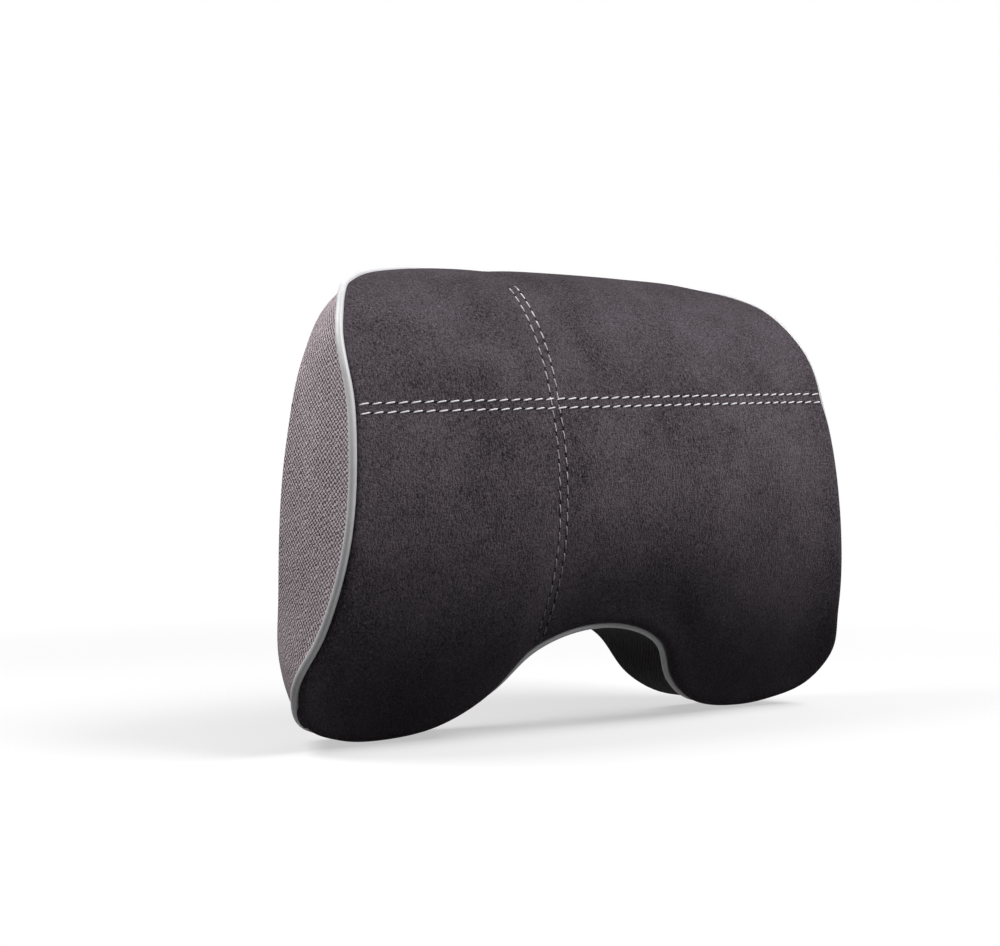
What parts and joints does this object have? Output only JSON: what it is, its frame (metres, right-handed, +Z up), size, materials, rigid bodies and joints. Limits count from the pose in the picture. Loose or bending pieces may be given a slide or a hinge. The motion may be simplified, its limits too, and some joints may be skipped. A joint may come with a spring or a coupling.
{
  "type": "car neck pillow",
  "caption": "Neck pillow that straps to a car headrest: a notched foam body in a piped suede cover with knit sides, a back zip and a closing strap.",
  "frame": {"origin": "on the flat back, midway across and 36 mm below its top edge, where the headrest bears on it", "axes": "+X to the right of someone facing the pillow's front, +Y out of the back towards the headrest, +Z up"},
  "size_m": [0.304, 0.0797, 0.212],
  "materials": {
    "foam": "open-cell memory foam",
    "suede": "brushed microsuede with a nap",
    "knit": "two-tone twill knit",
    "piping": "satin vinyl cord cover",
    "zip_tape": "woven tape",
    "zip_coil": "nylon coil",
    "zip_metal": "gunmetal",
    "webbing": "ribbed elastic webbing",
    "hook_and_loop": "hook and loop pile"
  },
  "bodies": {
    "pillow": {"foam_core": "foam", "front_panel": "suede", "gusset_left": "knit", "gusset_right": "knit", "bottom_band": "knit", "back_panel_upper": "knit", "back_panel_lower": "knit", "piping": "piping", "zip_tape_upper": "zip_tape", "zip_tape_lower": "zip_tape", "zip_coil_upper": "zip_coil", "zip_coil_lower": "zip_coil", "zip_stop_left": "zip_metal", "zip_stop_right": "zip_metal", "strap_left": "webbing", "strap_right": "webbing", "strap_loop_patch": "hook_and_loop", "strap_hook_patch": "hook_and_loop"},
    "slider": {"zip_slider": "zip_metal"},
    "pull": {"zip_pull": "zip_metal"}
  },
  "joints": [
    {"name": "zip_slide", "type": "slide", "parent": "pillow", "child": "slider", "axis": [-1, 0, 0], "range_m": [0, 0.234]},
    {"name": "pull_swing", "type": "hinge", "parent": "slider", "child": "pull", "pos_m": [0.1174, 0.0031, -0.04], "axis": [0, 0, 1], "range_deg": [-170, 0]}
  ]
}
